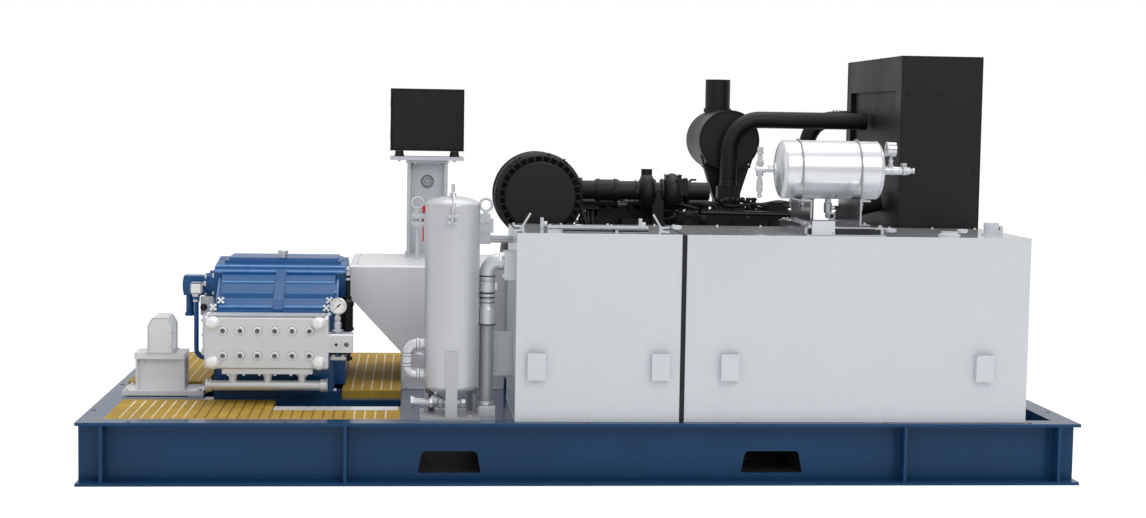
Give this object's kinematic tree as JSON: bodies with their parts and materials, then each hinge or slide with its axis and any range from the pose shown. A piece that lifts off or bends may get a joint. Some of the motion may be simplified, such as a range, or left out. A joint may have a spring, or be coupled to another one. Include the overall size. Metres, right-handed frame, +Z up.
{
  "type": "diesel high-pressure pump unit",
  "caption": "Skid-mounted diesel engine driving a high-pressure plunger pump, with tanks, radiator, air receiver, standing vessel and control panel.",
  "frame": {"origin": "centre of the skid's underside, on the floor", "axes": "+X along the skid from the pump to the radiator, +Y from the valve side to the rear, +Z up"},
  "size_m": [4.8, 2.4, 2.1],
  "materials": {
    "frame_blue": "semi-gloss navy blue paint",
    "pump_blue": "gloss blue paint",
    "grating_yellow": "matt ochre moulded glass-fibre grating",
    "light_grey_paint": "satin light grey paint",
    "black_paint": "satin black paint",
    "stainless": "brushed and polished stainless steel",
    "black_rubber": "matt black rubber",
    "engine_black": "black painted castings"
  },
  "bodies": {
    "unit": {"base_front_beam": "frame_blue", "base_rear_beam": "frame_blue", "base_left_beam": "frame_blue", "base_right_beam": "frame_blue", "base_cross_members": "frame_blue", "fork_tunnels": "frame_blue", "pump_bay_members": "frame_blue", "engine_rails": "frame_blue", "deck_plate": "frame_blue", "pump_pedestal": "frame_blue", "front_grating": "grating_yellow", "rear_gratings": "grating_yellow", "pump_crankcase": "pump_blue", "pump_crosshead_housing": "pump_blue", "lube_oil_pump": "pump_blue", "lube_oil_pipe": "pump_blue", "pump_fluid_end": "stainless", "pump_plugs": "stainless", "suction_manifold": "stainless", "discharge_block": "stainless", "pressure_gauge": "stainless", "vessel_shell": "stainless", "vessel_heads": "stainless", "vessel_legs": "stainless", "vessel_piping": "stainless", "suction_riser": "stainless", "receiver_shell": "stainless", "receiver_heads": "stainless", "receiver_piping": "stainless", "receiver_drain": "stainless", "aux_bracket": "light_grey_paint", "aux_cover": "light_grey_paint", "coupling_guard": "light_grey_paint", "panel_column": "light_grey_paint", "panel_shelf": "light_grey_paint", "left_eye_rod": "light_grey_paint", "right_eye_rod": "light_grey_paint", "left_tank_shell": "light_grey_paint", "left_tank_top": "light_grey_paint", "fuel_tank_shell": "light_grey_paint", "fuel_tank_top": "light_grey_paint", "tank_brackets": "light_grey_paint", "tank_top_fittings": "light_grey_paint", "filler_neck": "light_grey_paint", "receiver_cradle": "light_grey_paint", "pump_oil_filter": "black_paint", "control_panel": "black_paint", "air_filter": "black_paint", "intake_pipe": "black_paint", "muffler": "black_paint", "charge_air_pipes": "black_paint", "radiator_housing": "black_paint", "fan_shroud": "black_paint", "tank_seal": "black_rubber", "engine_block": "engine_black", "engine_heads": "engine_black", "turbocharger": "engine_black"},
    "cap": {"filler_cap": "light_grey_paint"},
    "handle": {"drain_handle": "black_paint"}
  },
  "joints": [
    {"name": "filler_cap_hinge", "type": "hinge", "parent": "unit", "child": "cap", "pos_m": [2.062, -0.908, 1.238], "axis": [0, 1, 0], "range_deg": [0, 100]},
    {"name": "drain_handle_turn", "type": "hinge", "parent": "unit", "child": "handle", "pos_m": [1.25, -0.78, 1.32], "axis": [1, 0, 0], "range_deg": [0, 90]}
  ]
}
